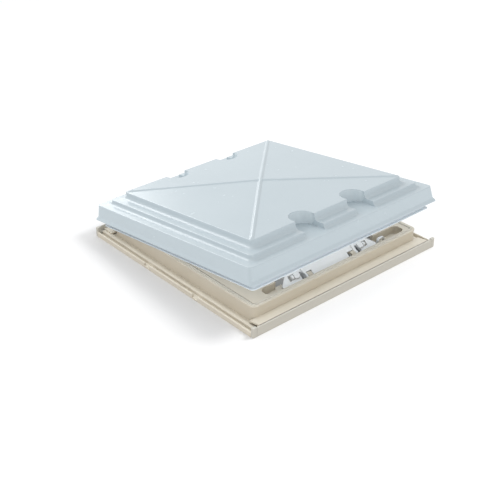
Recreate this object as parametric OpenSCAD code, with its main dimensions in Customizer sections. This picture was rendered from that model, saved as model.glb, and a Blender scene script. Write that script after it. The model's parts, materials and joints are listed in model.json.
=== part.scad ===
// Push-up roof vent cover: moulded frame, double-skin dome on rear hinges,
// front stay lever with two glides that run in curved tracks under the dome.
// Units are millimetres. +X right, +Y towards the hinges, +Z up, floor at z = 0.
// The model is drawn with the dome part open, held by its stay lever.

/* [Frame] */
// Overall width and depth of the frame
frame_w = 470; // [400:1:560]
// Height of the front and rear cover strips
strip_h = 18.8; // [12:0.5:30]
// Thickness of the cover strips, front to back
strip_t = 6; // [4:0.5:10]
// Height of the front flange between cover strip and upstand
flange_z = 18.5; // [10:0.1:20]
// How far the front flange falls towards the upstand, as a rain channel
flange_dip = 4; // [0:0.1:6]
// Height of the rear flange, which sinks for the hinges
flange_zr = 11.7; // [6:0.1:12]
// Moulded wall thickness of the frame
wall_t = 3; // [2:0.1:5]
// Half width of the upstand, side to side
up_x = 210; // [190:0.5:230]
// Half width of the upstand, front to back
up_y = 207; // [190:0.5:230]
// Corner radius of the upstand
up_r = 10; // [8:0.5:16]
// Height of the top deck
deck_z = 37; // [28:0.5:50]
// Half width of the clear opening
open_h = 165; // [120:1:180]
// Corner radius of the clear opening
open_r = 30; // [10:1:60]
// Height of the side gutter's outer lip
gutter_lip_z = 10; // [5:0.5:16]
// Left side's drain notch behind the middle
drain_a = 66; // [30:1:150]
// Left side's drain notch in front of the middle
drain_b = 78; // [30:1:150]
// Radius of the roof screw holes in the side gutters
screw_r = 2.25; // [1.5:0.05:4]

/* [Trough] */
// Outer edge of the lever trough
trough_out = 196; // [185:0.5:200]
// Inner edge of the lever trough
trough_in = 171; // [168:0.5:185]
// Height of the trough floor
trough_z = 21; // [15:0.5:30]
// Short end of the trough from the middle
trough_a = 165; // [130:1:190]
// Long end of the trough from the middle
trough_b = 190; // [130:1:195]
// Half width of the part of the trough that opens to the vent
gate_h = 126; // [110:1:150]
// Wall thickness of the trough
trough_t = 2.4; // [2:0.1:3]
// Storage clip's middle, to the right
clip_x = 135; // [130:1:150]

/* [Dome] */
// Half width at the skirt's bottom edge
skirt_h = 234.9; // [200:0.1:260]
// Half width where the skirt's flared edge begins
flare_h = 231.6; // [200:0.1:260]
// Height where the skirt's flared edge begins
flare_z = 6.5; // [3:0.1:12]
// Height of the skirt
skirt_z = 29.3; // [15:0.1:50]
// Half width at the skirt's top edge
skirt_top = 228.6; // [200:0.1:260]
// Half width of the middle step at its foot
mid_foot = 209.9; // [180:0.1:240]
// Half width of the middle step at its top
mid_top = 208.6; // [180:0.1:240]
// Height of the middle step's top
mid_z = 38.5; // [30:0.1:60]
// Half width of the upper step at its foot
up_foot = 188.2; // [160:0.1:220]
// Half width of the upper step at its top
up_top = 187.2; // [160:0.1:220]
// Height where the pyramid starts
pyr_z = 53.6; // [40:0.1:80]
// Height of the pyramid's tip
tip_z = 61.8; // [55:0.1:90]
// Wall thickness of the outer dome
skin_t = 2.5; // [1.5:0.1:4]
// Corner radius at the skirt's top
corner_r = 12; // [6:0.5:20]
// Distance of each scoop from the middle
scoop_x = 64; // [40:1:100]
// Distance of the scoop centres from the middle line
scoop_y = 178; // [170:1:205]
// Radius of each scoop
scoop_r = 23; // [12:0.5:35]
// Radius of the round bead on the pyramid's ridges
rib_r = 4.6; // [2:0.1:8]
// How far the ridge bead stands out
rib_out = 1.8; // [0.5:0.1:3]

/* [Inner pane] */
// Inner half width of the pane's skirt
pane_in = 216; // [212:0.1:222]
// Outer half width of the pane's lip
lip_h = 223.5; // [218:0.1:228]
// Drop of the lip below the outer skirt
lip_z = 15; // [8:0.1:22]
// Half width of the raised pan
pan_h = 196; // [180:0.5:205]
// Height of the underside of the raised pan
pan_z = 23.5; // [15:0.1:24]

/* [Opening] */
// Tilt of the dome as drawn
rest_open = 7.61; // [0:0.01:12]
// Largest tilt of the dome
max_open = 13.6; // [8:0.1:20]
// Hinge line, distance behind the middle
hinge_y = 219; // [212:0.1:224]
// Hinge line height
hinge_z = 18.6; // [16:0.1:24]
// Distance of each hinge from the middle
hinge_x = 120; // [60:1:180]

/* [Stay lever] */
// Lever pivot, distance in front of the middle
piv_y = -184; // [-190:0.5:-176]
// Lever pivot height
piv_z = 28; // [24:0.5:32]
// Length of the lever arms
arm_l = 112; // [80:1:130]
// Lever angle with the dome shut
lev_shut = 8; // [4:0.5:20]
// Lever angle with the dome fully open
lev_open = 62; // [50:0.5:75]
// Half width of the lever plate at its foot
plate_h = 120; // [90:1:125]
// Half width of the lever plate at its shoulder
plate_s = 99; // [80:1:118]
// Distance of the lugs from the middle
lug_x = 56; // [45:1:60]

/* [Hidden] */
e = 0.01;
H = frame_w / 2;
strip_y = H - strip_t;
cs = cos(rest_open);
sn = sin(rest_open);
// one point of the dome, in its own frame and in the drawn pose
ref_l = 185;
ref_y = 185.3;
ref_z = 43.8;
// the hinge line in the dome's own frame
hl_y = ref_l + (hinge_y - ref_y) * cs - (hinge_z - ref_z) * sn;
hl_z = (hinge_y - ref_y) * sn + (hinge_z - ref_z) * cs;
lev_k = (lev_open - lev_shut) / max_open;
lev_rest = lev_shut + lev_k * rest_open;
// glide centre at dome tilt t, in the world and in the dome's frame
function gw(t) = [piv_y + arm_l * cos(lev_shut + lev_k * t),
                  piv_z + arm_l * sin(lev_shut + lev_k * t)];
function gl(t) = let (w = gw(t), dy = w[0] - hinge_y, dz = w[1] - hinge_z)
  [hl_y + dy * cos(t) - dz * sin(t), hl_z + dy * sin(t) + dz * cos(t)];
slot_n = 24;
slot_h = 4.8;
function slot_p(i) = gl(max_open * i / slot_n);
function unit(v) = v / norm(v);
function slot_d(i) = unit(slot_p(min(i + 1, slot_n)) - slot_p(max(i - 1, 0)));
beige = [0.80, 0.77, 0.70];
acryl = [0.80, 0.85, 0.88];
white = [0.90, 0.90, 0.88];
steel = [0.70, 0.71, 0.72];
grey = [0.45, 0.45, 0.45];

// rounded rectangle as points, half sizes hx and hy
arc_n = 7;
function rrp(hx, hy, r) = [for (q = [0:3]) for (i = [0:arc_n])
  let (a = 90 * q + 90 * i / arc_n, sx = (q == 0 || q == 3) ? 1 : -1, sy = q < 2 ? 1 : -1)
  [sx * (hx - r) + r * cos(a), sy * (hy - r) + r * sin(a)]];
module rr2(hx, hy, r) polygon(rrp(hx, hy, r));
module ring(hx, hy, r, t, z0, z1) translate([0, 0, z0]) linear_extrude(z1 - z0)
  difference() { rr2(hx, hy, r); rr2(hx - t, hy - t, max(r - t, 1)); }
module ring2(a, b, z0, z1) translate([0, 0, z0]) linear_extrude(z1 - z0)
  difference() { rr2(a[0], a[1], a[2]); rr2(b[0], b[1], b[2]); }
module box(x0, x1, y0, y1, z0, z1) translate([x0, y0, z0]) cube([x1 - x0, y1 - y0, z1 - z0]);
module along_x(x0, x1) translate([x0, 0, 0]) rotate([90, 0, 90]) linear_extrude(x1 - x0) children();
module along_y(l) rotate([90, 0, 0]) linear_extrude(l, center = true) children();
module rod(x0, x1, r, y = 0, z = 0) translate([x0, y, z]) rotate([0, 90, 0]) cylinder(h = x1 - x0, r = r, $fn = 48);
module both() { children(); mirror([1, 0, 0]) children(); }
module in_dome() translate([0, ref_y, ref_z]) rotate([-rest_open, 0, 0]) translate([0, -ref_l, 0]) children();
// lever frame: Y runs along the arm away from the pivot, Z is the arm's upper side
module in_lever() translate([0, piv_y, piv_z]) rotate([lev_rest, 0, 0]) children();

// --- frame ---
module side_profile() polygon([[up_x - wall_t, 0], [H, 0], [H, gutter_lip_z - 1], [H - 1, gutter_lip_z],
  [H - 2.2, gutter_lip_z], [H - 3, gutter_lip_z - 1], [H - 3.4, 3.2], [H - 10.5, 3.2], [H - 11.3, 8],
  [H - 12.8, 9.3], [H - 16.5, 9.3], [H - 18.5, 8.8], [H - 23, 6.8], [up_x - wall_t, 6.6]]);
// z is the height at the cover strip, d the fall towards the upstand
module flange_profile(z, d) let (k = d / (H - 2 - up_y)) polygon([[-strip_y, 0], [-strip_y + wall_t, 0],
  [-strip_y + wall_t, z - wall_t - 6 * k], [-up_y + 1, z - wall_t - d], [-up_y + 1, z - d],
  [-H + 3, z], [-H + 3, z - wall_t], [-strip_y, z - wall_t - 3 * k]]);
module trough_2d(g) translate([(trough_b - trough_a) / 2, -(trough_out + trough_in) / 2])
  rr2((trough_a + trough_b) / 2 + g, (trough_out - trough_in) / 2 + g, 11 + g);
module half_turn() { children(); rotate([0, 0, 180]) children(); }
module base_frame() color(beige) difference() {
  union() {
    both() along_y(2 * strip_y) side_profile();
    along_x(-H + 17, H - 17) flange_profile(flange_z, flange_dip);
    rotate([0, 0, 180]) along_x(-H + 17, H - 17) flange_profile(flange_zr, 0);
    ring(up_x, up_y, up_r, wall_t, 3, 36.7);
    ring(up_x + 1, up_y + 1, up_r + 1, 3, 34.6, 36.7);
    ring2([up_x - wall_t + e, up_y - wall_t + e, up_r - 3], [open_h, open_h, open_r], 29, 31.5);
    ring2([up_x - 9.6, up_y - 8.6, 4], [open_h, open_h, open_r], 31.4, deck_z);
    ring2([open_h + wall_t, open_h + wall_t, open_r + wall_t], [open_h, open_h, open_r], 0, deck_z);
    half_turn() translate([0, 0, trough_z - wall_t]) linear_extrude(deck_z - trough_z + wall_t) trough_2d(trough_t);
    half_turn() box(-gate_h - wall_t, gate_h + wall_t, -trough_in - 1, -open_h, trough_z - wall_t, trough_z);
    // webs under the deck and under the troughs
    both() for (y = [-120, 0, 120]) box(open_h + 1, up_x - 1, y - 1.25, y + 1.25, 3, 30);
    half_turn() for (x = [-150, -75, 0, 75, 150]) box(x - 1.25, x + 1.25, -up_y + 1, -open_h - 1, 3, trough_z - 2);
  }
  // lighten the deck from below, between the webs
  for (s = [-1, 1]) for (y0 = [-162, -118.75, 1.25, 121.25])
    box(s > 0 ? open_h + wall_t : -up_x + 12.6, s > 0 ? up_x - 12.6 : -open_h - wall_t,
      y0, y0 < -150 ? -121.25 : (y0 < 0 ? -1.25 : (y0 < 100 ? 118.75 : 162)), 28, deck_z - wall_t);
  half_turn() translate([0, 0, trough_z]) linear_extrude(40) trough_2d(0);
  half_turn() box(-gate_h, gate_h, -trough_in - 2, -open_h + 2, trough_z, 60);
  half_turn() for (y = [drain_a, -drain_b]) box(-H - 1, -H + 3.6, y - 7, y + 7, 3.2, 30);
  both() for (y = [-190, -30, 30, 190]) translate([H - 7, y, -1]) cylinder(h = 8, r = screw_r, $fn = 32);
  both() for (d = [-13, 9]) translate([lug_x + d, -193.4, 10]) cylinder(h = 20, r = 1.55, $fn = 24);
}
// cover strip: a face plate whose top edge meets the flange, and two feet that reach back to the frame
module strip_profile() polygon([[-H, 0], [-H, strip_h - 0.9], [-H + 0.7, strip_h], [-H + 2.4, strip_h],
  [-H + 2.4, 8.2], [-strip_y, 8.2], [-strip_y, 6], [-H + 2.4, 6], [-H + 2.4, 2], [-strip_y, 2], [-strip_y, 0]]);
module front_cover_strip() color(beige) along_x(-H + 9.4, H - 9.4) strip_profile();
module rear_cover_strip() color(beige) rotate([0, 0, 180]) along_x(-H + 9.4, H - 9.4) strip_profile();
module strip_end_caps() color(beige) half_turn() both() linear_extrude(strip_h + 0.4) intersection() {
  rr2(H, H, 1.5);
  translate([H - 9, -H]) square([9, strip_t]);
}
module frame_seal() color(grey) union() {
  ring(up_x - wall_t - 0.2, up_y - wall_t - 0.2, up_r - 3.2, 5.2, 31.5, 36.4);
  ring(up_x - wall_t - 1.6, up_y - wall_t - 1.6, up_r - 4.6, 2.6, 36.3, 38.1);
}

// --- front lugs, pins, quadrants ---
module front_lug() color(beige) difference() {
  union() {
    rod(lug_x - 5, lug_x + 5, 7, piv_y, piv_z);
    box(lug_x - 5, lug_x + 5, piv_y - 9.2, piv_y + 7, trough_z, piv_z);
    box(lug_x - 19, lug_x + 12.8, -trough_out + 0.4, piv_y - 7.2, trough_z, trough_z + 8);
  }
  rod(lug_x - 6, lug_x + 6, 3.05, piv_y, piv_z);
  for (d = [-13, 9]) translate([lug_x + d, -193.4, 10]) cylinder(h = 30, r = 1.55, $fn = 24);
}
module front_lug_right() front_lug();
module front_lug_left() mirror([1, 0, 0]) front_lug();
module lug_screws() color(steel) both() for (d = [-13, 9]) translate([lug_x + d, -193.4, trough_z + 8]) {
  translate([0, 0, -12.5]) cylinder(h = 12.6, r = 1.5, $fn = 24);
  cylinder(h = 1.8, r = 2.2, $fn = 24);
}
module pivot_pin() color(steel) union() {
  rod(lug_x - 6.6, 68.6, 3, piv_y, piv_z);
  rod(lug_x - 8.6, lug_x - 6.5, 4.4, piv_y, piv_z);
}
module front_pivot_pin_right() pivot_pin();
module front_pivot_pin_left() mirror([1, 0, 0]) pivot_pin();
quad_r = 12.2;
module quadrant() color(steel) difference() {
  union() {
    intersection() {
      rod(69.8, 72.2, quad_r, piv_y, piv_z);
      box(60, 80, -trough_out + 0.6, -trough_in - 0.6, trough_z, 60);
    }
    box(69.8, 77, piv_y - 9, piv_y - 6.6, trough_z, trough_z + 2.4);
    box(69.8, 72.2, piv_y - 9, piv_y + 9, trough_z, trough_z + 3);
  }
  for (a = [10:14:170]) rod(69, 73, 1.3, piv_y + quad_r * cos(a), piv_z + quad_r * sin(a));
}
module lock_quadrant_right() quadrant();
module lock_quadrant_left() mirror([1, 0, 0]) quadrant();

module storage_clip() color(white) translate([clip_x, -(trough_out + trough_in) / 2, trough_z]) {
  for (s = [-1, 1]) box(s * 9 - 3, s * 9 + 3, -3.4, 3.4, 0, 1.6);
  along_y(5) difference() {
    translate([0, 4.2]) rr2(9.6, 11.4, 7);
    translate([0, 4]) rr2(7.2, 9.2, 5);
    translate([-12, -12]) square([24, 12]);
    translate([-7.2, -1]) square([14.4, 6]);
  }
}

// --- rear hinges ---
module hinge_lug() color(beige) difference() {
  union() {
    rod(hinge_x - 12, hinge_x + 12, 5, hinge_y, hinge_z);
    box(hinge_x - 12, hinge_x + 12, up_y, hinge_y, hinge_z - 5, hinge_z + 5);
    box(hinge_x - 12, hinge_x + 12, up_y, up_y + 3, flange_zr, hinge_z + 5);
  }
  rod(hinge_x - 13, hinge_x + 13, 2.55, hinge_y, hinge_z);
}
module rear_hinge_lug_right() hinge_lug();
module rear_hinge_lug_left() mirror([1, 0, 0]) hinge_lug();
module hinge_pin() color(steel) union() {
  rod(hinge_x - 24.5, hinge_x + 24.5, 2.5, hinge_y, hinge_z);
  rod(hinge_x + 24.4, hinge_x + 26, 4, hinge_y, hinge_z);
}
module rear_hinge_pin_right() hinge_pin();
module rear_hinge_pin_left() mirror([1, 0, 0]) hinge_pin();
module knuckle() color(white) in_dome() difference() {
  union() {
    for (d = [-18, 18]) {
      rod(hinge_x + d - 5.5, hinge_x + d + 5.5, 5, hl_y, hl_z);
      box(hinge_x + d - 5.5, hinge_x + d + 5.5, lip_h + 0.3, hl_y + 5, hl_z, -9);
      box(hinge_x + d - 5.5, hinge_x + d + 5.5, pane_in + 2.4, hl_y + 5, -13, -9);
    }
    box(hinge_x - 25.5, hinge_x + 25.5, pane_in + 2.4, pane_in + 5, -13, -4);
  }
  rod(hinge_x - 30, hinge_x + 30, 2.55, hl_y, hl_z);
  for (d = [-18, 18]) translate([hinge_x + d, pane_in - 2, -6.4]) rotate([-90, 0, 0]) cylinder(h = 9, r = 1.55, $fn = 24);
}
module hinge_knuckle_right() knuckle();
module hinge_knuckle_left() mirror([1, 0, 0]) knuckle();

// --- stay lever ---
module plate_2d() polygon([[-plate_h, -4], [plate_h, -4], [plate_h, 2.5], [plate_s, 22.7], [plate_s - 3, 23.6],
  [68, 23.6], [61.2, 30], [61.2, 58], [-61.2, 58], [-61.2, 30], [-68, 23.6], [-plate_s + 3, 23.6],
  [-plate_s, 22.7], [-plate_h, 2.5]]);
module stay_lever() color(white) in_lever() difference() {
  union() {
    difference() {
      translate([0, 0, -2]) linear_extrude(4) plate_2d();
      both() box(lug_x - 9.5, 69.2, -5, 8, -9, 9);
      both() box(69.1, 73, -5, 13.2, -9, 9);
      both() box(72.9, 76, 6.5, 12.5, -9, 9);
      both() box(88, 100, 4, 15, -9, 9);
    }
    both() arm();
    both() box(76, 88, 4.4, 14.6, -4.6, 4.6);
    // stiffening ribs on the under side
    for (x = [-30, 0, 30]) box(x - 1, x + 1, 12, 50, -6, -1.9);
  }
  both() rod(60, 69, 3.05, 0, 0);
  both() rod(60, 69, 2.5, arm_l, 0);
  both() rod(75, 89, 2.57, 9.5, 0);
  both() rod(61, 65.8, 3, 64, 0);
  rod(-61.4, 61.4, 7.85, 64, 0);
  // window for the fingers
  translate([0, 38, -10]) linear_extrude(20) rr2(40, 9, 6);
}
module arm() union() {
  rod(61.5, 67.5, 6.2, 0, 0);
  rod(61.5, 67.5, 6, arm_l, 0);
  box(61.5, 67.5, 0, arm_l, -4.6, 4.6);
}
module lever_grip() color(white) in_lever() union() {
  rod(-61.4, 61.4, 7, 64, 0);
  rod(-65.6, 65.6, 2.95, 64, 0);
  for (x = [-50:10:50]) rod(x - 2, x + 2, 7.8, 64, 0);
}
module track_pin() color(steel) in_lever() union() {
  rod(61.5, 76, 2.5, arm_l, 0);
  rod(75.9, 77.4, 4, arm_l, 0);
}
module track_pin_right() track_pin();
module track_pin_left() mirror([1, 0, 0]) track_pin();
module glide() color(grey) in_lever() difference() {
  union() {
    rod(67.9, 75.6, 4.5, arm_l, 0);
    rod(67.9, 69.4, 5.6, arm_l, 0);
  }
  rod(67, 77, 2.5, arm_l, 0);
}
module track_glide_right() glide();
module track_glide_left() mirror([1, 0, 0]) glide();
module bolt() color(white) in_lever() union() {
  rod(72.7, 90.1, 2.5, 9.5, 0);
  rod(90, 94, 5, 9.5, 0);
  rod(93.9, 95, 4, 9.5, 0);
}
module release_bolt_right() bolt();
module release_bolt_left() mirror([1, 0, 0]) bolt();

// --- dome ---
arc_m = 4 * (arc_n + 1);
function ring_pts(l) = [for (p = rrp(l[0], l[0], l[2])) [p[0], p[1], l[1]]];
// closed solid through a stack of [half width, height, corner radius]
module stack(ls) {
  n = len(ls);
  pts = [for (l = ls) each ring_pts(l)];
  polyhedron(points = pts, faces = concat(
    [[for (i = [0:arc_m - 1]) i]],
    [for (k = [0:n - 2]) for (i = [0:arc_m - 1]) let (a = k * arc_m, b = a + arc_m, j = (i + 1) % arc_m)
      each [[a + i, b + i, b + j], [a + i, b + j, a + j]]],
    [[for (i = [arc_m - 1:-1:0]) (n - 1) * arc_m + i]]), convexity = 8);
}
module scoops(g) half_turn() both() translate([scoop_x, scoop_y, -20]) {
  cylinder(h = 100, r = scoop_r + g, $fn = 64);
  translate([-scoop_r - g, 0, 0]) cube([2 * (scoop_r + g), 60, 100]);
}
// skirt and ledge, then the stepped upper part with its four scoops
module dome_solid(t) union() {
  stack([
    [skirt_h - t, -0.5 * t - (t > 0 ? 2 : 0), corner_r - 4 - t],
    [skirt_h - 0.2 - t, 1.6, corner_r - 4 - t],
    [flare_h - t, flare_z, corner_r - 1.5 - t],
    [skirt_top - t, skirt_z - t, corner_r - t]]);
  difference() {
    stack([
      [mid_foot + 0.4 - t, skirt_z - t - 2, corner_r - 1 - t],
      [mid_foot - t, skirt_z - t, corner_r - 1 - t],
      [mid_top - t, mid_z - t, corner_r - 1 - t],
      [up_foot - t, mid_z - t + 0.01, corner_r - 5 - t],
      [up_top - t, pyr_z - t, corner_r - 6 - t],
      [3, tip_z - t - 0.2, 1.5]]);
    scoops(t);
  }
}
ridge_a = atan2(tip_z - pyr_z, (up_top - 4) * sqrt(2));
module ribs() for (a = [45:90:315]) rotate([0, 0, a]) translate([0, 0, tip_z - rib_r + rib_out])
  rotate([0, 90 + ridge_a, 0]) translate([0, 0, 6]) cylinder(h = (up_top - 12) * sqrt(2), r = rib_r, $fn = 32);
module outer_dome() color(acryl) in_dome() difference() {
  union() {
    dome_solid(0);
    ribs();
  }
  dome_solid(skin_t);
}
module inner_pane() color(acryl) in_dome() difference() {
  union() {
    ring2([lip_h, lip_h, 6], [pane_in, pane_in, 4], -lip_z, -lip_z + 1.8);
    ring2([pane_in + 2.4, pane_in + 2.4, 6.4], [pane_in, pane_in, 4], -lip_z, 3.2);
    ring2([pane_in + 2.4, pane_in + 2.4, 6.4], [pan_h - 2.4, pan_h - 2.4, 12], -1, 1.5);
    ring2([pan_h, pan_h, 14.4], [pan_h - 2.4, pan_h - 2.4, 12], -1, pan_z + 2.5);
    ring2([flare_h - 2.8, flare_h - 2.8, corner_r - 4.5], [pan_h - e, pan_h - e, 14.4], 3, 5.5);
    translate([0, 0, pan_z]) linear_extrude(2.5) rr2(pan_h, pan_h, 14.4);
  }
  both() for (d = [-18, 18]) translate([hinge_x + d, pane_in - 2, -6.4]) rotate([-90, 0, 0])
    cylinder(h = 9, r = 1.55, $fn = 24);
}
brk_y0 = -156;
brk_y1 = -61;
// side point of the slot, g = 1 on its left, and its round ends
function slot_s(i, g) = slot_p(i) + g * slot_h * [-slot_d(i)[1], slot_d(i)[0]];
function slot_e(i, g) = let (d = slot_d(i), h = atan2(d[1], d[0]))
  [for (a = [15:15:165]) slot_p(i) + slot_h * [cos(h + g * 90 - a), sin(h + g * 90 - a)]];
module slot_2d() polygon(concat([for (i = [0:slot_n]) slot_s(i, 1)], slot_e(slot_n, 1),
  [for (i = [slot_n:-1:0]) slot_s(i, -1)], slot_e(0, -1)));
module bracket() color(white) in_dome() union() {
  along_x(70, 75) difference() {
    polygon([[brk_y0, -6], [brk_y0 + 3, -8.4], [brk_y1 - 20, -4], [brk_y1, -1], [brk_y1, pan_z], [brk_y0, pan_z]]);
    slot_2d();
  }
  difference() {
    box(74, 86, brk_y0, brk_y1, pan_z - 2.4, pan_z);
    for (y = [brk_y0 + 12, brk_y1 - 12]) translate([81, y, 10]) cylinder(h = 20, r = 1.55, $fn = 24);
  }
}
module track_bracket_right() bracket();
module track_bracket_left() mirror([1, 0, 0]) bracket();
module bracket_screws() color(steel) in_dome() both() {
  for (y = [brk_y0 + 12, brk_y1 - 12]) translate([81, y, pan_z - 2.4]) {
    translate([0, 0, -1.8]) cylinder(h = 1.8, r = 3, $fn = 24);
    translate([0, 0, -0.1]) cylinder(h = 2.5, r = 1.5, $fn = 24);
  }
  for (d = [-18, 18]) translate([hinge_x + d, pane_in + 5, -6.4]) rotate([-90, 0, 0]) {
    cylinder(h = 1.6, r = 2.4, $fn = 24);
    translate([0, 0, -4.9]) cylinder(h = 5, r = 1.5, $fn = 24);
  }
}

base_frame();
front_cover_strip();
rear_cover_strip();
strip_end_caps();
frame_seal();
front_lug_left();
front_lug_right();
lug_screws();
front_pivot_pin_left();
front_pivot_pin_right();
lock_quadrant_left();
lock_quadrant_right();
storage_clip();
rear_hinge_lug_left();
rear_hinge_lug_right();
rear_hinge_pin_left();
rear_hinge_pin_right();
stay_lever();
lever_grip();
track_pin_left();
track_pin_right();
track_glide_left();
track_glide_right();
release_bolt_left();
release_bolt_right();
outer_dome();
inner_pane();
track_bracket_left();
track_bracket_right();
hinge_knuckle_left();
hinge_knuckle_right();
bracket_screws();
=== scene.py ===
"""Looks of the roof vent cover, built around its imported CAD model."""

import json
import math

import bmesh
import bpy
from mathutils import Matrix, Vector

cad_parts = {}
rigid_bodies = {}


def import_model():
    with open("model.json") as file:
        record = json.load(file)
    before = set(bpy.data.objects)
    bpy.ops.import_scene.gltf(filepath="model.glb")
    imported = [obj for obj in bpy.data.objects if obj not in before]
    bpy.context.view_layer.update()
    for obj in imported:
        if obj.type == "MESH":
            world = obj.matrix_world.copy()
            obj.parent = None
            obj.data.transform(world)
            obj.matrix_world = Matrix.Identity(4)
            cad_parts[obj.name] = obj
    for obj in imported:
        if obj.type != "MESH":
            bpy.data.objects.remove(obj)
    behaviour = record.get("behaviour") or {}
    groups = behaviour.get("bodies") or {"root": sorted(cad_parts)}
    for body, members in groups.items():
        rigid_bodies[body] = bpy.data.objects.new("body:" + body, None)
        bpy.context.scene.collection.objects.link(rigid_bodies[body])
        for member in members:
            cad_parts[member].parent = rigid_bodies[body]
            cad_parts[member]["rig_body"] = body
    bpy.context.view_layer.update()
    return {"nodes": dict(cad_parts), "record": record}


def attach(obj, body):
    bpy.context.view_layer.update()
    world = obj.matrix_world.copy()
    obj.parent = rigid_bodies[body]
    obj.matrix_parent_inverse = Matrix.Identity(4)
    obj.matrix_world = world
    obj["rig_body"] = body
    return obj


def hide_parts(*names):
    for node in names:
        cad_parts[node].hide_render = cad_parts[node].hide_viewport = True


MM = 0.001
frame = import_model()
slot_of = {s["node"]: s["material_slot"] for s in frame["record"]["subparts"]}

# ------------------------------------------------------------------ the dome's place
TILT = math.radians(7.61)
# the dome's own point (0, ANCHOR_OWN, 0) lies at (0, ANCHOR_Y, ANCHOR_Z) in the frame, in metres
ANCHOR_OWN, ANCHOR_Y, ANCHOR_Z = 0.185, 0.1853, 0.0438
DOME = (Matrix.Translation((0, ANCHOR_Y, ANCHOR_Z)) @ Matrix.Rotation(-TILT, 4, "X")
        @ Matrix.Translation((0, -ANCHOR_OWN, 0)))

# ------------------------------------------------------------------ the dome's sizes, millimetres
SKIN = 2.5
LEDGE, STEP, PYRAMID, PEAK = 30.4, 40.0, 53.7, 61.7     # heights from the skirt's ledge upwards
PEAK_HALF = 1.5                                         # half width of the flat peak
SCOOP_X, SCOOP_Y, SCOOP_R = 64, 178, 23
SCOOPS = [(SCOOP_X * sx, SCOOP_Y * sy, SCOOP_R) for sx in (-1, 1) for sy in (-1, 1)]
SCOOP_RUN = 60                                          # how far a scoop's cut runs outward
CUT_LOW, CUT_HIGH = -20, 90                             # below and above everything that is cut
WALL_LOW, WALL_HIGH = 31.2, 53.4                        # heights between which the scoops are lighter
BEAD_HALF, BEAD_FOOT = 187.4, 53.6                      # half width and height that the beads run down to
BEAD_WIDTH, BEAD_RISE, BEAD_SUNK = 5.0, 2.2, 0.06
BEAD_SHORT, BEAD_FADE = 3.2, 5                          # the beads stop and fade before their corner
BEAD_ROWS, BEAD_COLUMNS = 96, 14


# ------------------------------------------------------------------ shader helpers
def new_material(name):
    mat = bpy.data.materials.new(name)
    mat.use_nodes = True
    return mat, mat.node_tree, mat.node_tree.nodes["Principled BSDF"]


def add(tree, kind, **inputs):
    node = tree.nodes.new(kind)
    for key, value in inputs.items():
        node.inputs[key.replace("_", " ")].default_value = value
    return node


def own_place(tree):
    """Coordinates in the object's own frame."""
    return tree.nodes.new("ShaderNodeTexCoord").outputs["Object"]


def noise(tree, place, scale, detail=4.0, rough=0.55):
    node = add(tree, "ShaderNodeTexNoise", Scale=scale, Detail=detail, Roughness=rough)
    tree.links.new(place, node.inputs["Vector"])
    return node.outputs["Fac"]


def ramp(tree, value, low, high, first, last):
    """Colour that goes from first at low to last at high."""
    node = tree.nodes.new("ShaderNodeValToRGB")
    for stop, at, colour in zip(node.color_ramp.elements, (low, high), (first, last)):
        stop.position = at
        stop.color = (*colour, 1)
    tree.links.new(value, node.inputs["Fac"])
    return node.outputs["Color"]


def mix(tree, amount, a, b, mode="MIX"):
    """Mix two colours, each a socket or three numbers."""
    node = tree.nodes.new("ShaderNodeMix")
    node.data_type = "RGBA"
    node.blend_type = mode
    for socket, value in ((node.inputs[0], amount), (node.inputs[6], a), (node.inputs[7], b)):
        if isinstance(value, bpy.types.NodeSocket):
            tree.links.new(value, socket)
        else:
            socket.default_value = value if socket.type == "VALUE" else (*value, 1)
    return node.outputs[2]


def bump(tree, height, strength, distance, normal=None):
    node = add(tree, "ShaderNodeBump", Strength=strength, Distance=distance)
    tree.links.new(height, node.inputs["Height"])
    if normal is not None:
        tree.links.new(normal, node.inputs["Normal"])
    return node.outputs["Normal"]


def spread(tree, value, start=0.0, end=1.0, low=0.0, high=1.0):
    """Map a value from start..end to low..high."""
    node = add(tree, "ShaderNodeMapRange", From_Min=start, From_Max=end, To_Min=low, To_Max=high)
    tree.links.new(value, node.inputs["Value"])
    return node.outputs["Result"]


def calculate(tree, operation, *values):
    node = tree.nodes.new("ShaderNodeMath")
    node.operation = operation
    for socket, value in zip(node.inputs, values):
        tree.links.new(value, socket)
    return node.outputs[0]


# ------------------------------------------------------------------ materials
def painted_seam_shade(tree, colour, at, width, low, tint):
    """Painted shade: a darker tint in the joint behind the cover strips, front and rear."""
    blend = 0.5 * MM
    place = tree.nodes.new("ShaderNodeSeparateXYZ")
    tree.links.new(own_place(tree), place.inputs[0])
    near = spread(tree, calculate(tree, "ABSOLUTE", place.outputs["Y"]), at - width, at)
    high = spread(tree, place.outputs["Z"], low - blend, low)
    return mix(tree, calculate(tree, "MULTIPLY", near, high), colour, tint)


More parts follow.
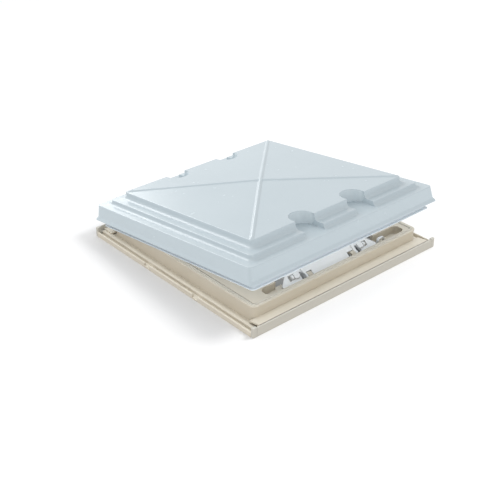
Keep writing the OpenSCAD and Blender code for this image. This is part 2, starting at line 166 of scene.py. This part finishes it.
def plastic(name, base, shade, rough, grain, depth, spec=0.5, coat=0.0, sss=0.0, wear=None, joint=None,
            wave=0.0004, drawn=None):
    """Moulded plastic: slow tone drift, fine grain, faint flow marks and, if asked, worn edges, painted shade
    in a joint and painted daylight where the mesh marks it.
    """
    mat, tree, shader = new_material(name)
    place = own_place(tree)
    colour = ramp(tree, noise(tree, place, scale=9.0, detail=3.0), 0.3, 0.7, shade, base)
    fine = noise(tree, place, grain, detail=6.0, rough=0.7)
    speckle = ramp(tree, fine, 0.35, 0.65, (0.75, 0.75, 0.75), (1, 1, 1))
    colour = mix(tree, 0.05, colour, speckle, "MULTIPLY")
    if wear:
        convex = tree.nodes.new("ShaderNodeNewGeometry").outputs["Pointiness"]
        colour = mix(tree, ramp(tree, convex, 0.50, 0.56, (0, 0, 0), (1, 1, 1)), colour, wear)
    # painted shade: darker tint in the joint behind the cover strips
    if joint:
        colour = painted_seam_shade(tree, colour, **joint)
    # painted daylight: a lighter colour where the mesh marks the scoops' walls
    if drawn:
        daylight_mask = tree.nodes.new("ShaderNodeAttribute")
        daylight_mask.attribute_name = "drawn"
        colour = mix(tree, daylight_mask.outputs["Fac"], colour, drawn)
    tree.links.new(colour, shader.inputs["Base Color"])
    gloss = spread(tree, noise(tree, place, grain * 0.12), low=rough - 0.05, high=rough + 0.07)
    tree.links.new(gloss, shader.inputs["Roughness"])
    normal = bump(tree, fine, 0.35, depth)
    normal = bump(tree, noise(tree, place, scale=22.0, detail=2.0), 0.25, wave, normal)
    tree.links.new(normal, shader.inputs["Normal"])
    shader.inputs["Specular IOR Level"].default_value = spec
    if coat:
        shader.inputs["Coat Weight"].default_value = coat
        shader.inputs["Coat Roughness"].default_value = 0.12
    if sss:
        shader.inputs["Subsurface Weight"].default_value = sss
        shader.inputs["Subsurface Radius"].default_value = (0.8, 1.0, 1.2)
        shader.inputs["Subsurface Scale"].default_value = 6 * MM
    return mat


def metal(name, base, rough):
    """Plated steel with a fine grain."""
    mat, tree, shader = new_material(name)
    place = own_place(tree)
    darker = tuple(0.8 * c for c in base)
    colour = ramp(tree, noise(tree, place, scale=300.0, detail=5.0), 0.3, 0.7, darker, base)
    tree.links.new(colour, shader.inputs["Base Color"])
    shader.inputs["Metallic"].default_value = 1.0
    gloss = spread(tree, noise(tree, place, scale=120.0), low=rough - 0.1, high=rough + 0.1)
    tree.links.new(gloss, shader.inputs["Roughness"])
    tree.links.new(bump(tree, noise(tree, place, scale=900.0), 0.2, 0.1 * MM), shader.inputs["Normal"])
    return mat


MATS = {
    "frame_abs": plastic(
        "beige_abs", base=(0.565, 0.51, 0.415), shade=(0.54, 0.485, 0.39), rough=0.46, grain=900,
        depth=0.12 * MM, wear=(0.585, 0.53, 0.435),
        # the joint tint is painted shade behind the cover strips
        joint={"at": 231.2 * MM, "width": 1.2 * MM, "low": 16.5 * MM, "tint": (0.25, 0.205, 0.17)}),
    "cover_abs": plastic(
        "cover_abs", base=(0.45, 0.425, 0.365), shade=(0.425, 0.40, 0.34), rough=0.42, grain=900,
        depth=0.1 * MM, wear=(0.48, 0.455, 0.395)),
    "seal_rubber": plastic(
        "seal_epdm", base=(0.58, 0.545, 0.47), shade=(0.55, 0.515, 0.44), rough=0.65, grain=1400,
        depth=0.2 * MM, spec=0.3),
    "dome_acrylic": plastic(
        "dome_acrylic", base=(0.50, 0.575, 0.615), shade=(0.485, 0.56, 0.60), rough=0.24, grain=500,
        # the last colour here is painted daylight for the scoops' walls
        depth=0.01 * MM, coat=0.12, wave=0.1 * MM, drawn=(0.655, 0.725, 0.76)),
    "pane_acrylic": plastic(
        "pane_acrylic", base=(0.52, 0.57, 0.61), shade=(0.50, 0.55, 0.59), rough=0.25, grain=500,
        depth=0.01 * MM, coat=0.1, sss=0.08, wave=0.1 * MM),
    "lever_plastic": plastic(
        "lever_white", base=(0.74, 0.74, 0.725), shade=(0.71, 0.71, 0.695), rough=0.38, grain=1100,
        depth=0.1 * MM),
    "glide_plastic": plastic(
        "glide_acetal", base=(0.10, 0.10, 0.10), shade=(0.07, 0.07, 0.07), rough=0.35, grain=1200,
        depth=0.1 * MM),
    "steel": metal("zinc_steel", base=(0.50, 0.51, 0.52), rough=0.35),
}

for node, ob in frame["nodes"].items():
    ob.data.materials.clear()
    ob.data.materials.append(MATS[slot_of[node]])


# ------------------------------------------------------------------ mesh helpers
def evaluated(ob):
    """The object's mesh with its modifiers applied, which are then removed."""
    bpy.context.view_layer.update()
    mesh = bpy.data.meshes.new_from_object(ob.evaluated_get(bpy.context.evaluated_depsgraph_get()))
    ob.modifiers.clear()
    ob.data = mesh
    return ob


def to_object(name, bm):
    """A new object in the scene from a bmesh, which is used up."""
    mesh = bpy.data.meshes.new(name)
    bm.to_mesh(mesh)
    bm.free()
    ob = bpy.data.objects.new(name, mesh)
    bpy.context.scene.collection.objects.link(ob)
    return ob


def finished(name, bm, mat, smooth=35):
    """A piece with its material, smooth up to the given angle in degrees."""
    ob = to_object(name, bm)
    ob.data.materials.append(MATS[mat])
    ob.data.shade_smooth()
    bpy.context.view_layer.update()
    ob.data.set_sharp_from_angle(angle=math.radians(smooth))
    flat = ob.modifiers.new("flat", "WEIGHTED_NORMAL")
    flat.keep_sharp, flat.weight, flat.mode = True, 80, "FACE_AREA"
    return evaluated(ob)


def tidy_mesh(bm, merge=0.002 * MM):
    bmesh.ops.remove_doubles(bm, verts=bm.verts, dist=merge)
    bmesh.ops.dissolve_limit(bm, angle_limit=math.radians(0.6), verts=bm.verts, edges=bm.edges)


def bevel(bm, width, segments=2, angle=30, chosen=lambda edge: True):
    """Round the chosen edges whose faces turn by more than the angle in degrees."""
    edges = [e for e in bm.edges if len(e.link_faces) == 2
             and e.calc_face_angle(0) > math.radians(angle) and chosen(e)]
    bmesh.ops.bevel(bm, geom=edges, offset=width, offset_type="OFFSET", segments=segments,
                    profile=0.5, affect="EDGES", clamp_overlap=True)


def split_large_faces(bm):
    bmesh.ops.triangulate(bm, faces=[f for f in bm.faces if len(f.verts) > 4])


def soften(node, width):
    """A copy of a CAD node with rounded edges, shown in its place."""
    bm = bmesh.new()
    bm.from_mesh(frame["nodes"][node].data)
    tidy_mesh(bm)
    bevel(bm, width)
    ob = finished(node + "_soft", bm, slot_of[node])
    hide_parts(node)
    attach(ob, frame["nodes"][node]["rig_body"])


def combine(a, b, operation):
    """Boolean of two objects, b is used up."""
    step = a.modifiers.new("cut", "BOOLEAN")
    step.operation, step.solver, step.object = operation, "EXACT", b
    evaluated(a)
    bpy.data.objects.remove(b)
    return a


# ------------------------------------------------------------------ solids, sizes in millimetres
def rounded_square(half, radius, steps):
    out = []
    for quarter, (sx, sy) in enumerate(((1, 1), (-1, 1), (-1, -1), (1, -1))):
        for i in range(steps + 1):
            a = math.radians(90 * quarter + 90 * i / steps)
            out.append((sx * (half - radius) + radius * math.cos(a),
                        sy * (half - radius) + radius * math.sin(a)))
    return out


def filleted(levels, steps=6):
    """Turn (half width, height, corner radius, fillet) into levels with short arcs for the fillets."""
    out = []
    for i, (half, z, radius, fillet) in enumerate(levels):
        if not fillet:
            out.append((half, z, radius))
            continue
        corner, before, after = Vector((half, z)), Vector(levels[i - 1][:2]), Vector(levels[i + 1][:2])
        u, v = (before - corner).normalized(), (after - corner).normalized()
        angle = u.angle(v) / 2
        reach = min(fillet / math.tan(angle), 0.75 * (before - corner).length, 0.75 * (after - corner).length)
        arc = reach * math.tan(angle)
        centre = corner + (u + v).normalized() * (arc / math.sin(angle))
        start, end = corner + u * reach - centre, corner + v * reach - centre
        for k in range(steps + 1):
            point = centre + start.slerp(end, k / steps) * arc
            out.append((point.x, point.y, radius))
    return out


def loft(levels, steps=10):
    """Closed solid through rounded squares given as (half width, height, corner radius)."""
    bm = bmesh.new()
    rings = [[bm.verts.new((x * MM, y * MM, z * MM)) for x, y in rounded_square(half, radius, steps)]
             for half, z, radius in levels]
    for low, high in zip(rings, rings[1:]):
        for i in range(len(low)):
            j = (i + 1) % len(low)
            bm.faces.new((low[i], low[j], high[j], high[i]))
    bm.faces.new(list(reversed(rings[0])))
    bm.faces.new(rings[-1])
    return to_object("loft", bm)


def cylinder(x, y, radius):
    bm = bmesh.new()
    middle = Matrix.Translation((x * MM, y * MM, (CUT_LOW + CUT_HIGH) / 2 * MM))
    bmesh.ops.create_cone(bm, cap_ends=True, segments=72, radius1=radius * MM, radius2=radius * MM,
                          depth=(CUT_HIGH - CUT_LOW) * MM, matrix=middle)
    return to_object("cylinder", bm)


def block(x0, x1, y0, y1):
    bm = bmesh.new()
    bmesh.ops.create_cube(bm, size=1)
    for v in bm.verts:
        v.co = Vector(((x0 + x1) / 2 + v.co.x * (x1 - x0), (y0 + y1) / 2 + v.co.y * abs(y1 - y0),
                       (CUT_LOW + CUT_HIGH) / 2 + v.co.z * (CUT_HIGH - CUT_LOW))) * MM
    return to_object("block", bm)


# ------------------------------------------------------------------ outer dome
def dome_solid(inset):
    """Skirt with its ledge, then the stepped upper part with four scoops cut through it."""
    t = inset
    skirt = loft(filleted([
        (234.9 - t, -t, 7 - t, 0), (234.7 - t, 1.6, 7 - t, 1), (231.6 - t, 6.5, 8 - t, 6),
        (228.8 - t, LEDGE - t, 9 - t, 1.6), (20, LEDGE - t, 5, 0)]))
    upper = loft(filleted([
        (224.2 - t, LEDGE - 1.9 - t, 9 - t, 0), (224 - t, LEDGE + 0.01 - t, 9 - t, 0),
        (209.9 - t, LEDGE + 0.03 - t, 8 - t, 7), (208.6 - t, STEP - 0.1 - t, 8 - t, 1.6),
        (188.2 - t, STEP - t, 6 - t, 8), (187.2 - t, PYRAMID - t, 5 - t, 1.4),
        (PEAK_HALF, PEAK - t, 0.7, 0)]))
    for x, y, radius in SCOOPS:
        outward = SCOOP_RUN if y > 0 else -SCOOP_RUN
        wide = radius + t
        scoop = combine(cylinder(x, y, wide), block(x - wide, x + wide, y, y + outward), "UNION")
        upper = combine(upper, scoop, "DIFFERENCE")
    return combine(skirt, upper, "UNION")


def scoop_foot(edge):
    """Whether an edge is the inside corner where a scoop's wall meets the ledge."""
    foot, slack, reach = LEDGE + 0.02, 0.4, 1
    ends = [v.co / MM for v in edge.verts]
    return not edge.is_convex and all(abs(end.z - foot) < slack for end in ends) and any(
        math.hypot(end.x - x, end.y - y) < radius + reach for x, y, radius in SCOOPS for end in ends)


def in_scoop(point):
    """Whether a point lies on the half-round back wall of a scoop, or just past its ends."""
    x, y = point.x / MM, point.y / MM
    past, near = 4, 1
    return abs(y) < SCOOP_Y + past and any(abs(math.hypot(x - sx, y - sy) - r) < near for sx, sy, r in SCOOPS)


def mark_scoops(bm):
    """A lighter colour on the scoops' walls stands in for daylight that comes through them."""
    for z in (WALL_LOW, WALL_HIGH):
        wall = [f for f in bm.faces if abs(f.normal.z) < 0.3 and in_scoop(f.calc_center_median())]
        parts = set(wall) | {e for f in wall for e in f.edges} | {v for f in wall for v in f.verts}
        bmesh.ops.bisect_plane(bm, geom=list(parts), plane_co=(0, 0, z * MM), plane_no=(0, 0, 1))
    split_large_faces(bm)
    # per-vertex weight of the painted daylight
    drawn = bm.verts.layers.float.new("drawn")
    slack = 0.1
    for v in bm.verts:
        v[drawn] = in_scoop(v.co) and WALL_LOW - slack < v.co.z / MM < WALL_HIGH + slack


def dome_skin():
    """The milky outer skin, hollow from below."""
    shell = combine(dome_solid(0), dome_solid(SKIN), "DIFFERENCE")
    bm = bmesh.new()
    bm.from_mesh(shell.data)
    bpy.data.objects.remove(shell)
    tidy_mesh(bm, 0.05 * MM)
    bevel(bm, 4.5 * MM, 4, 34, scoop_foot)      # moves the corner by 0.13 mm at most, not by 4.5 mm
    tidy_mesh(bm, 0.01 * MM)
    bevel(bm, 1.0 * MM, 3, 34)
    bmesh.ops.remove_doubles(bm, verts=bm.verts, dist=0.02 * MM)
    bmesh.ops.dissolve_degenerate(bm, edges=bm.edges, dist=0.02 * MM)
    split_large_faces(bm)
    mark_scoops(bm)
    dome = finished("outer_dome_skin", bm, "dome_acrylic", 40)
    dome.data.transform(DOME)
    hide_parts("outer_dome")
    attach(dome, "dome")


def beads():
    """Round beads pressed up along the four ridges of the pyramid."""
    bm = bmesh.new()
    slope = (PEAK - BEAD_FOOT) / (BEAD_HALF - PEAK_HALF)
    length = (BEAD_HALF - BEAD_SHORT) * math.sqrt(2)
    for quarter in range(4):
        a = math.radians(45 + 90 * quarter)
        along, across = Vector((math.cos(a), math.sin(a), 0)), Vector((-math.sin(a), math.cos(a), 0))
        grid = []
        for i in range(BEAD_ROWS + 1):
            run = length * i / BEAD_ROWS
            fade = min(1, (length - run) / BEAD_FADE)
            line = []
            for j in range(BEAD_COLUMNS + 1):
                side = BEAD_WIDTH * (2 * j / BEAD_COLUMNS - 1)
                point = along * run + across * side
                base = PEAK - slope * (max(abs(point.x), abs(point.y)) - PEAK_HALF)
                arch = (0.5 + 0.5 * math.cos(math.pi * side / BEAD_WIDTH)) ** 0.7
                lift = BEAD_RISE * arch * math.sqrt(max(fade * (2 - fade), 0))
                line.append(bm.verts.new((point.x * MM, point.y * MM, (base + lift - BEAD_SUNK) * MM)))
            grid.append(line)
        for low, high in zip(grid, grid[1:]):
            for j in range(BEAD_COLUMNS):
                bm.faces.new((low[j], high[j], high[j + 1], low[j + 1]))
    bmesh.ops.recalc_face_normals(bm, faces=bm.faces)
    ob = finished("outer_dome_beads", bm, "dome_acrylic", 60)
    ob.data.transform(DOME)
    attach(ob, "dome")


dome_skin()
beads()

# ------------------------------------------------------------------ softened CAD nodes
ROUNDING = {"base_frame": 0.7, "frame_seal": 0.3}
OTHER_ROUNDING = 0.6
for node in ("base_frame", "front_cover_strip", "rear_cover_strip", "strip_end_caps", "inner_pane",
             "frame_seal", "stay_lever", "front_lug_left", "front_lug_right", "track_bracket_left",
             "track_bracket_right", "hinge_knuckle_left", "hinge_knuckle_right",
             "rear_hinge_lug_left", "rear_hinge_lug_right"):
    soften(node, ROUNDING.get(node, OTHER_ROUNDING) * MM)


# ------------------------------------------------------------------ floor and world, metres
def white_floor():
    bpy.ops.mesh.primitive_plane_add(size=16, location=(0, 0, -0.3 * MM))
    ob = bpy.context.object
    ob.name = "floor"
    mat, _, shader = new_material("floor_white")
    shader.inputs["Base Color"].default_value = (0.92, 0.92, 0.925, 1)
    shader.inputs["Roughness"].default_value = 0.9
    shader.inputs["Specular IOR Level"].default_value = 0.1
    ob.data.materials.append(mat)
    return ob


def studio(strength):
    world = bpy.data.worlds.new("studio")
    bpy.context.scene.world = world
    world.use_nodes = True
    background = world.node_tree.nodes["Background"]
    background.inputs["Color"].default_value = (1, 1, 1, 1)
    background.inputs["Strength"].default_value = strength


floor = white_floor()
studio(0.9)


# ------------------------------------------------------------------ lamps, metres and watts
def area(name, at, aim, size, power, color=(1, 1, 1), height=None):
    """A rectangular lamp at a place, turned towards its aim."""
    data = bpy.data.lights.new(name, "AREA")
    data.shape, data.size, data.energy, data.color = "RECTANGLE", size, power, color
    data.size_y = height or size
    lamp = bpy.data.objects.new(name, data)
    lamp.location = at
    lamp.rotation_euler = (Vector(aim) - Vector(at)).to_track_quat("-Z", "Y").to_euler()
    bpy.context.scene.collection.objects.link(lamp)
    return lamp


def polar(azimuth, elevation, distance):
    """A place around the object, azimuth in degrees from +X towards +Y."""
    a, e = math.radians(azimuth), math.radians(elevation)
    return (distance * math.cos(e) * math.cos(a), distance * math.cos(e) * math.sin(a),
            distance * math.sin(e))


LOW, MIDDLE, HIGH = (0, 0, 0.03), (0, 0, 0.05), (0, 0, 0.08)
WARM = (1, 0.99, 0.97)
area("key", polar(62, 50, 3.4), MIDDLE, size=1.6, power=3, color=WARM)
card = area("dome_card", polar(86, 20, 3.2), HIGH, size=2.4, power=26, height=1.4)
side = area("dome_side", polar(108, 36, 3.2), HIGH, size=2.0, power=27, color=(1, 0.995, 1), height=1.2)
area("fill", polar(256, 14, 3.2), LOW, size=2.4, power=8.5, height=1.0)
left = area("left_fill", polar(182, 34, 3.0), LOW, size=1.6, power=13, color=(0.96, 0.99, 1.04))
lip = area("pane_lip", polar(228, 42, 3.0), HIGH, size=1.6, power=52, color=WARM)
inside = area("inside", at=LOW, aim=(0, 0, 0), size=0.3, power=0.04)
ground = area("ground", polar(-34, 56, 3.6), (0, 0, 0), size=1.2, power=48)
through = area("through_dome", at=(0, -0.15, 2.2), aim=(0, -0.05, 0), size=1.6, power=37,
               color=(0.89, 0.96, 1.04))

meshes = [o for o in bpy.data.objects if o.type == "MESH"]


def on_bodies(*bodies):
    return [o for o in meshes if o.get("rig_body", "") in bodies]


def named(start):
    return [o for o in meshes if o.name.startswith(start)]


def linked(light, objects, blocked=False):
    """Let a light reach these objects only, and let only them stop it if blocked is set."""
    group = bpy.data.collections.new(light.name + "_set")
    for ob in objects:
        group.objects.link(ob)
    light.light_linking.receiver_collection = group
    if blocked:
        light.light_linking.blocker_collection = group


# light that the milky dome lets through: it reaches the frame, the lever and the bolts only
linked(through, on_bodies("frame", "lever", "left_bolt", "right_bolt"), blocked=True)
linked(card, named("outer_dome_"))
linked(side, named("outer_dome_"))
linked(left, on_bodies("frame"))
linked(lip, named("inner_pane"), blocked=True)
linked(inside, [floor])
linked(ground, [floor])


# ------------------------------------------------------------------ camera, metres
def camera(at, aim, lens):
    cam = bpy.data.objects.new("camera", bpy.data.cameras.new("camera"))
    bpy.context.scene.collection.objects.link(cam)
    cam.location = at
    cam.rotation_euler = (Vector(aim) - cam.location).to_track_quat("-Z", "Y").to_euler()
    cam.data.sensor_width = 36
    cam.data.lens = lens
    cam.data.dof.use_dof = False
    bpy.context.scene.camera = cam


camera(at=(-1.12515, -1.24036, 0.95363), aim=(0.01246, 0.0545, -0.04933), lens=70.525)
bpy.context.scene.view_settings.view_transform = "Standard"
